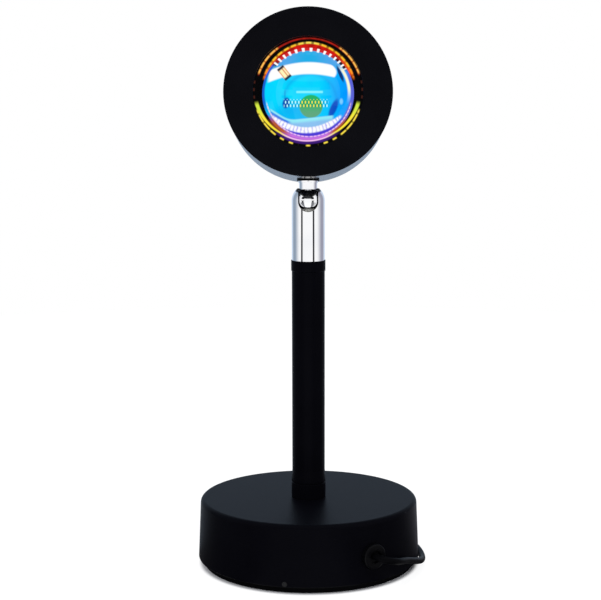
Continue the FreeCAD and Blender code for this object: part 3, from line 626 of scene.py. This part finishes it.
def lens_marks(x, y, colour):
    """Painted reflections of dark and pale things in the studio, beside the light engine."""
    top_mark = blot(x, y, centre=(13.6, 8.0), size=(0.75, 3.6), tilt=22.0, soft=0.3)
    colour = mix_colours(colour, srgb(6, 52, 122), top_mark)
    bar = between(x, -5.3, 6.0, 0.3) * near(y, 0.25, 0.4, 0.4)
    colour = mix_colours(colour, srgb(140, 246, 255), bar)
    left_mark = blot(x, y, centre=(-9.7, -4.4), size=(1.5, 2.3), tilt=-12.0, soft=0.25)
    colour = mix_colours(colour, srgb(4, 78, 184), left_mark)
    stalk = near(x, -10.2, 0.1, 0.35) * between(y, -3.0, 1.0, 1.2)
    colour = mix_colours(colour, srgb(6, 100, 190), stalk * 0.8)
    right_mark = blot(x, y, centre=(10.6, -6.8), size=(1.4, 4.2), tilt=-24.0, soft=0.35)
    colour = mix_colours(colour, srgb(0, 80, 196), right_mark)
    spot = blot(x, y, centre=(14.0, -3.8), size=(0.7, 1.2), tilt=0.0, soft=0.45)
    return mix_colours(colour, srgb(128, 206, 255), spot)


def lens_engine(x, y, colour):
    """The lit light engine behind the glass, painted: a green disc, and rows of dots with dark
    gaps.
    """
    disc = blot(x, y, centre=(0.95, -5.9), size=(4.95, 4.95), tilt=0.0, soft=0.08)
    green = mix_colours(srgb(92, 166, 122), srgb(16, 178, 98), step_up(y, -6.5, 3.0))
    colour = mix_colours(colour, green, disc)

    dot_pitch, row_pitch, top_row = 1.42, 1.55, -4.1
    wave = combine("COSINE", x * (2.0 * math.pi / dot_pitch))
    wave = wave * combine("COSINE", (y - top_row) * (math.pi / row_pitch))
    here = between(y, -6.2, -2.9, 0.3) * between(x, -10.6, 8.2, 0.5)
    light = mix_colours(srgb(190, 252, 255), srgb(245, 232, 70), disc)
    colour = mix_colours(colour, light, step_up(wave, 0.32, 0.25) * here)
    gaps = step_up(wave * -1.0, 0.4, 0.25) * here
    return mix_colours(colour, srgb(10, 112, 130), gaps * 0.55)


def lens_shore(x, y, colour):
    """A painted reflection of the pale table, low in the glass."""
    shelf = x * 0.105 - 10.9
    bank = (x + 8.6) * -0.62 - 11.9
    highest = -6.3
    line = combine("MINIMUM", combine("SMOOTH_MAX", shelf, bank, 3.4), highest)
    below = line - y
    under = step_up(below, 0.0, 0.35) * between(x, -16.6, 10.4, 0.7)
    strand = under * (1.0 - step_up(below, 0.85, 0.4) * step_down(x, -8.4, 1.4))
    table = mix_colours(srgb(148, 236, 248), srgb(138, 192, 240), step_up(below, 1.4, 0.9))
    # Painted reflection: a deeper blue under the table, low in the glass
    colour = mix_colours(colour, srgb(66, 122, 232), under * step_up(y * -1.0, 8.0, 2.0))
    return mix_colours(colour, table, strand)


def lens_lights(x, y, colour):
    """A painted reflection of a row of white lights under the table, widening towards the bottom.
    """
    reach, angle = polar(x + 1.0, y - 5.1)
    turned = size_of(angle)
    # Painted reflection: indigo below the row of lights
    below = step_up(reach, 22.2, 0.5) * step_up(turned, 122.0, 8.0)
    colour = mix_colours(colour, INDIGO, below)
    half = spread(turned, 0.4, 1.25, start=134.0, stop=152.0)
    band = near(reach, 21.25, half, 0.45) * step_up(turned, 136.0, 3.0)
    uneven = spread(noise(x.tree, 340.0, detail=2.0), -0.1, 0.5)
    nudged = angle + spread(noise(x.tree, 300.0, detail=2.0), -1.0, 1.0)
    lit = dashes(nudged, pitch=4.4, share=0.64, soft=1.1) + uneven
    return mix_colours(colour, mix_colours(srgb(176, 172, 250), WHITE, lit), band)


def lens_edge(reach, angle, colour):
    """The glass near its rim: painted darker blue and violet shade, and a painted highlight at the
    right.
    """
    turned = size_of(angle)
    shade = step_up(reach, 19.1, 0.4) * step_down(turned, 112.0, 12.0)
    colour = mix_colours(colour, srgb(24, 98, 208), shade)
    right = step_up(reach, 17.9, 0.4) * between(angle, 66.0, 126.0, 10.0)
    colour = mix_colours(colour, srgb(92, 100, 214), right)
    streak = near(reach, 17.5, 0.62, 0.4) * between(angle, 52.0, 100.0, 7.0)
    glint = mix_colours(srgb(255, 251, 210), srgb(140, 190, 255), step_up(angle, 90.0, 9.0))
    return mix_colours(colour, glint, streak)


def lens_bottom_rim(reach, angle, colour):
    """Painted orange and violet light low on the rim, with a broken pink thread of painted
    highlight.
    """
    turned = size_of(angle)
    plum = step_up(reach, 19.0, 0.25) * step_up(turned, 124.0, 8.0)
    # Painted reflected light, orange turning violet at the bottom
    orange_reflection = mix_colours(srgb(186, 92, 44), srgb(198, 112, 224), step_up(turned, 152.0, 7.0))
    colour = mix_colours(colour, orange_reflection, plum)
    thread = near(reach, 18.7, 0.22, 0.25) * step_up(turned, 104.0, 5.0)
    thread = thread * (dashes(angle, pitch=5.2, share=0.7, soft=0.6) * 0.6 + 0.4)
    pink = mix_colours(srgb(255, 214, 236), srgb(255, 196, 250), step_up(turned, 150.0, 14.0))
    return mix_colours(colour, pink, thread)


def lens_top_rim(reach, angle, colour):
    """Painted highlights over painted red light at the top of the rim, closer together towards its
    ends.
    """
    here = between(angle, -51.0, 57.0, 3.0)
    back = mix_colours(srgb(22, 16, 34), srgb(206, 40, 46), between(angle, -44.0, 36.0, 7.0))
    colour = mix_colours(colour, back, step_up(reach, 18.35, 0.25) * here)
    leant = angle + 2.0
    pitch = 10.4 - size_of(leant) * 0.045
    wave = combine("COSINE", leant / pitch * (2.0 * math.pi)) * -1.0
    marks = step_up(wave, 0.42, 0.35) * step_up(reach, 17.95, 0.25) * here
    return mix_colours(colour, WHITE, marks)


def lens_glass():
    """The dichroic lens: blue glass with the lit light engine and the studio's reflections painted
    in it.
    """
    material, tree, shader = new_material("lens_glass")
    x, up, depth = head_fields(tree)
    y = up - depth * VIEW_TILT + LENS_DROP
    x = x - VIEW_SHIFT
    colour = lens_depths(x, y)
    for layer in (lens_softbox, lens_window_reflection, lens_marks, lens_engine, lens_shore, lens_lights):
        colour = layer(x, y, colour)
    reach, angle = polar(x, up)
    for layer in (lens_edge, lens_bottom_rim, lens_top_rim):
        colour = layer(reach, angle, colour)
    shader.inputs["Base Color"].default_value = (0.002, 0.004, 0.008, 1.0)
    # The whole picture is painted light, given as emission
    plug_in(shader.inputs["Emission Color"], colour)
    shader.inputs["Emission Strength"].default_value = 1.0
    shader.inputs["Roughness"].default_value = 0.03
    shader.inputs["Specular IOR Level"].default_value = 0.15
    return material


# ---------------------------------------------------------------- rings around the lens

# How far out the stepped tube ends, and how deep behind the face its painted lit steps start
TUBE_EDGE = 24.6
TUBE_START = 0.9


def upper_rings(reach, angle, uneven):
    """Painted red, amber and orange reflected light on the upper half of the stepped tube."""
    turned = size_of(angle)
    red = between(reach, 18.6, 20.5, 0.25) * step_down(turned, 70.0, 7.0)
    fire = mix_colours(srgb(214, 24, 14), srgb(255, 92, 30), step_up(turned, 48.0, 12.0))
    colour = mix_colours(BLACK, fire, red * uneven)
    middle = 20.95 - combine("SINE", turned / DEGREES) * 0.75
    arc = near(reach, middle, 0.38, 0.28) * step_down(turned, 73.0, 4.0)
    arc = arc * (dashes(angle, pitch=9.3, share=0.66, soft=0.4) * 0.7 + 0.3)
    glow = mix_colours(srgb(255, 226, 90), AMBER, step_up(turned, 12.0, 8.0))
    glow = mix_colours(glow, ORANGE, step_up(turned, 62.0, 14.0))
    colour = mix_colours(colour, glow, arc)
    outer = near(reach, 22.75, 0.28, 0.3)
    top = outer * step_down(turned, 40.0, 5.0) * uneven
    colour = mix_colours(colour, srgb(188, 34, 20), top)
    sides = outer * between(turned, 36.0, 71.0, 2.5)
    colour = mix_colours(colour, srgb(190, 40, 20), sides)
    marks = near(reach, 22.85, 0.34, 0.24) * between(turned, 36.0, 70.0, 2.0)
    marks = marks * dashes(angle, pitch=8.6, share=0.84, soft=0.4)
    return mix_colours(colour, srgb(255, 190, 84), marks)


def lower_rings(reach, angle, colour):
    """Painted yellow light low at both sides of the stepped tube, turning pink and violet below.
    """
    turned = size_of(angle)
    violet = between(reach, 19.2, 21.1, 0.25) * step_up(turned, 130.0, 8.0)
    # Painted reflected light, brown turning violet at the bottom
    shade = mix_colours(srgb(150, 66, 40), srgb(170, 78, 206), step_up(turned, 150.0, 7.0))
    colour = mix_colours(colour, shade, violet)
    plum = between(reach, 21.5, 22.7, 0.3) * step_up(turned, 146.0, 10.0)
    colour = mix_colours(colour, srgb(62, 24, 120), plum)
    fall = spread(turned, 0.0, 1.0, start=104.0, stop=146.0)
    arc = near(reach, 22.45 - fall * 1.1, 0.72 - fall * 0.42, 0.25) * step_up(turned, 103.0, 3.0)
    light = mix_colours(srgb(214, 236, 70), YELLOW, step_up(turned, 116.0, 8.0))
    light = mix_colours(light, srgb(255, 196, 250), step_up(turned, 152.0, 10.0))
    return mix_colours(colour, light, arc)


def outer_dashes(reach, angle, colour):
    """Painted broken yellow light on the tube's outermost step, faint and dull brown at the sides.
    """
    turned = size_of(angle)
    line = near(reach, 23.3, 0.3, 0.25)
    long_ones = dashes(angle, pitch=10.4, share=0.86, soft=0.4, shift=5.0)
    long_ones = line * between(turned, 110.0, 142.0, 2.0) * long_ones
    short_ones = dashes(angle, pitch=10.4, share=0.42, soft=0.4, shift=5.0)
    short_ones = line * between(turned, 142.0, 168.0, 2.0) * short_ones
    last = line * step_up(turned, 178.0, 1.2)
    colour = mix_colours(colour, srgb(255, 228, 76), long_ones + short_ones + last)
    # Painted dim brown reflected light at the sides
    orange_reflection = line * between(turned, 78.0, 100.0, 3.0) * dashes(angle, pitch=8.0, share=0.4, soft=0.5)
    return mix_colours(colour, srgb(66, 30, 22), orange_reflection)


def ringed_tube():
    """The black stepped tube, with painted reflections of the lens's coloured light on its steps'
    edges.
    """
    material, tree, shader = new_material("tube_black")
    x, up, depth = head_fields(tree)
    y = up - depth * VIEW_TILT
    fine = noise(tree, 2500.0)
    uneven = spread(noise(tree, 420.0, detail=2.0), 0.45, 1.15)
    colour = upper_rings(*polar(x - VIEW_SHIFT, y), uneven)
    colour = outer_dashes(*polar(x, y), colour)
    reach, angle = polar(x + VIEW_SHIFT, y)
    colour = lower_rings(reach, angle, colour)
    inside = step_up(depth, TUBE_START, 0.2) * step_down(reach, TUBE_EDGE, 0.1)
    plug_in(shader.inputs["Emission Color"], mix_colours(BLACK, colour, inside))
    shader.inputs["Emission Strength"].default_value = 1.0
    shader.inputs["Base Color"].default_value = srgb(6, 6, 8)
    plug_in(shader.inputs["Roughness"], spread(fine, 0.35, 0.5))
    shader.inputs["Specular IOR Level"].default_value = 0.04
    bump(shader, fine, 0.01)
    return material


# ---------------------------------------------------------------- dressing

# The plate under the base is as black as the counterweight, and the barrel's bore has painted
# shade
SPECIAL_FINISHES = {"bottom_plate": "weight_iron", "swivel_barrel": "barrel_plate"}


def make_materials():
    """One finished material for each of the record's slots, and one for the barrel."""
    materials = {slot: plain_finish(slot, **finish) for slot, finish in PLAIN_FINISHES.items()}
    materials["head_paint"] = head_paint()
    materials["chrome_plate"] = chrome_plate("chrome_plate")
    materials["barrel_plate"] = chrome_plate("barrel_plate", shaded_bore=True)
    materials["tube_black"] = ringed_tube()
    materials["lens_glass"] = lens_glass()
    return materials


def dress(materials, pieces):
    """Gives every node and every new piece its finished material."""
    for part in frame["record"]["subparts"]:
        target = node(part["node"])
        finish = materials[SPECIAL_FINISHES.get(part["node"], part["material_slot"])]
        if not target.material_slots:
            target.data.materials.append(finish)
        for place in target.material_slots:
            place.material = finish
    for piece in pieces:
        piece.data.materials.append(materials["cord_jacket"])


# ---------------------------------------------------------------- studio

SOFT_LIGHT = srgb(188, 190, 196)
POST_BLACK = srgb(20, 21, 28)
FLOOR_POST_BLACK = srgb(26, 27, 34)

# Where the studio's dark posts stand, by angle from the lamp's front, half their width, and
# how much of that they lose just below the horizon
LEFT_POST, RIGHT_POST = -46.0, 38.0
POST_HALF = 12.6
POST_LOSS = 6.6

# The floor's radius and how far it lies below the base, in metres
FLOOR_RADIUS = 0.8
FLOOR_GAP = 0.0002
# From the base's edge outwards most of the floor's look is a glow of its own. The rest is
# lit and shaded.
GLOW_START = 49.2
GLOW_STRENGTH = 1.13
GLOW_SHARE = 0.8

# Each lamp's place, the point that it lights and its size, in metres, and its power in watts
LAMPS = {
    "key": dict(place=(-0.75, -0.85, 0.95), target=(0.0, 0.0, 0.12), size=(0.7, 0.7), power=6.0),
    "fill": dict(place=(0.95, -0.55, 0.6), target=(0.0, 0.0, 0.1), size=(0.6, 0.9), power=3.0),
    "top": dict(place=(0.0, 0.25, 1.3), target=(0.0, 0.0, 0.0), size=(0.9, 0.9), power=5.0),
}


def surround_colour(angle):
    """The studio's white front, grey sides and pale blue back, by angle from the front."""
    turned = size_of(angle)
    sides = mix_colours(srgb(146, 162, 180), srgb(158, 158, 174), step_up(angle, 0.0, 5.0))
    colour = mix_colours(WHITE, sides, between(turned, 84.0, 144.0, 24.0))
    return mix_colours(colour, srgb(200, 220, 244), step_up(turned, 140.0, 14.0))


def dark_posts(angle, half):
    """1 on the dark posts at both sides of the studio's front."""
    return near(angle, LEFT_POST, half, 2.5) + near(angle, RIGHT_POST, half, 2.5)


def studio_colour(angle, height):
    """What shiny things see around them, by angle from the front and by height."""
    narrow = between(height, -9.0, -1.0, 1.0)
    gap = between(height, 4.0, 15.0, 1.5)
    posts = dark_posts(angle, POST_HALF - narrow * POST_LOSS)
    posts = posts * step_down(height, 30.0, 3.0) * (1.0 - gap)
    bar = near(height, 27.0, 7.0, 3.0) * between(angle, -54.0, 46.0, 4.0)
    return mix_colours(surround_colour(angle), POST_BLACK, combine("MAXIMUM", posts, bar))


def make_world():
    """A white surround. It lights the lamp softly, and shiny things see the studio in it."""
    world = bpy.data.worlds.new("studio")
    bpy.context.scene.world = world
    world.use_nodes = True
    tree = world.node_tree
    # In a world these three are the direction looked in
    x, y, z = axes(tree, "Generated")
    studio = studio_colour(bearing(x, y), combine("ARCSINE", z) * DEGREES)
    clear, reflected = ray_masks(tree)
    colour = mix_colours(mix_colours(SOFT_LIGHT, studio, reflected), WHITE, clear)
    background = tree.nodes["Background"]
    plug_in(background.inputs["Color"], colour)
    background.inputs["Strength"].default_value = 1.0


def floor_glow(x, y, reflected):
    """The floor's glow: white, and the studio's colours where shiny things reflect it."""
    angle = bearing(x, y)
    sides = between(size_of(angle), 54.0, 108.0, 7.0)
    dark = combine("MAXIMUM", dark_posts(angle, POST_HALF), sides)
    studio = mix_colours(surround_colour(angle), FLOOR_POST_BLACK, dark)
    glow = x.tree.nodes.new("ShaderNodeEmission")
    plug_in(glow.inputs["Color"], mix_colours(WHITE, studio, reflected))
    glow.inputs["Strength"].default_value = GLOW_STRENGTH
    return glow


def floor_white():
    """White, with a glow of its own blended in so that only a faint shadow shows."""
    material, tree, shader = new_material("floor")
    tint = mix_colours(srgb(244, 244, 246), srgb(248, 248, 250), noise(tree, 40.0))
    plug_in(shader.inputs["Base Color"], tint)
    shader.inputs["Roughness"].default_value = 0.9
    shader.inputs["Specular IOR Level"].default_value = 0.0
    x, y = object_axes(tree)[:2]
    clear, reflected = ray_masks(tree)
    glow = floor_glow(x, y, reflected)
    seen = combine("MAXIMUM", clear, reflected) * step_up(distance(x, y), GLOW_START, 1.4)
    blend = tree.nodes.new("ShaderNodeMixShader")
    plug_in(blend.inputs[0], seen * GLOW_SHARE)
    tree.links.new(shader.outputs[0], blend.inputs[1])
    tree.links.new(glow.outputs[0], blend.inputs[2])
    tree.links.new(blend.outputs[0], tree.nodes["Material Output"].inputs["Surface"])
    return material


def make_floor():
    """A round white floor just under the base."""
    mesh = bmesh.new()
    bmesh.ops.create_circle(mesh, cap_ends=True, segments=96, radius=FLOOR_RADIUS)
    data = bpy.data.meshes.new("floor")
    mesh.to_mesh(data)
    mesh.free()
    floor = bpy.data.objects.new("floor", data)
    floor.location.z = -FLOOR_GAP
    link(floor)
    data.materials.append(floor_white())


def make_lamp(name, place, target, size, power):
    """A lamp that lights the object but doesn't show in what it reflects."""
    data = bpy.data.lights.new(name, "AREA")
    data.shape = "RECTANGLE"
    data.size, data.size_y = size
    data.energy = power
    lamp = bpy.data.objects.new(name, data)
    lamp.location = place
    direction = Vector(target) - Vector(place)
    lamp.rotation_euler = direction.to_track_quat("-Z", "Y").to_euler()
    lamp.visible_glossy = False
    link(lamp)


def make_lamps():
    """Soft light from both sides of the front and from above."""
    for name, lamp in LAMPS.items():
        make_lamp(name, **lamp)


make_camera()
cords = make_cords()
dress(make_materials(), cords)
make_world()
make_floor()
make_lamps()
bpy.context.scene.view_settings.view_transform = "Standard"
